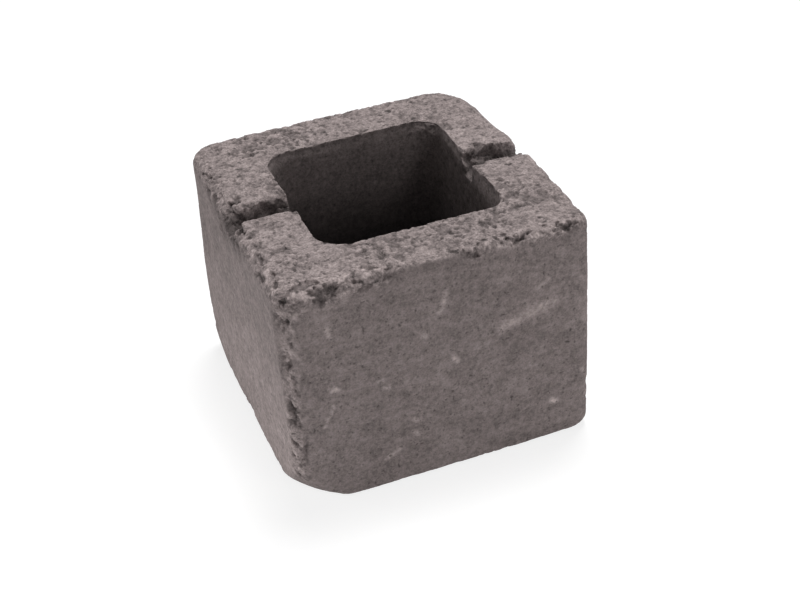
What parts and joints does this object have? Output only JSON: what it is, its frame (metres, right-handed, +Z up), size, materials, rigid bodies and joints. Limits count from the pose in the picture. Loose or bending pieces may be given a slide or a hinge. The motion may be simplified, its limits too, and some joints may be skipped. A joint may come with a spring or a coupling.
{
  "type": "hollow concrete fence block",
  "caption": "Hollow cast concrete block for fences and piers, with a tapered core open at top and bottom, a bar groove across the side walls and tumbled, worn edges.",
  "frame": {"origin": "middle of the bottom bed, on the floor that the block stands on", "axes": "+Z up through the core, +X along the bar groove to the right seen from the front, -Y towards the front face"},
  "size_m": [0.2, 0.2, 0.16],
  "materials": {
    "concrete": "matte, open-grained cast concrete in warm grey"
  },
  "bodies": {
    "root": {"fence_block": "concrete"}
  },
  "joints": []
}
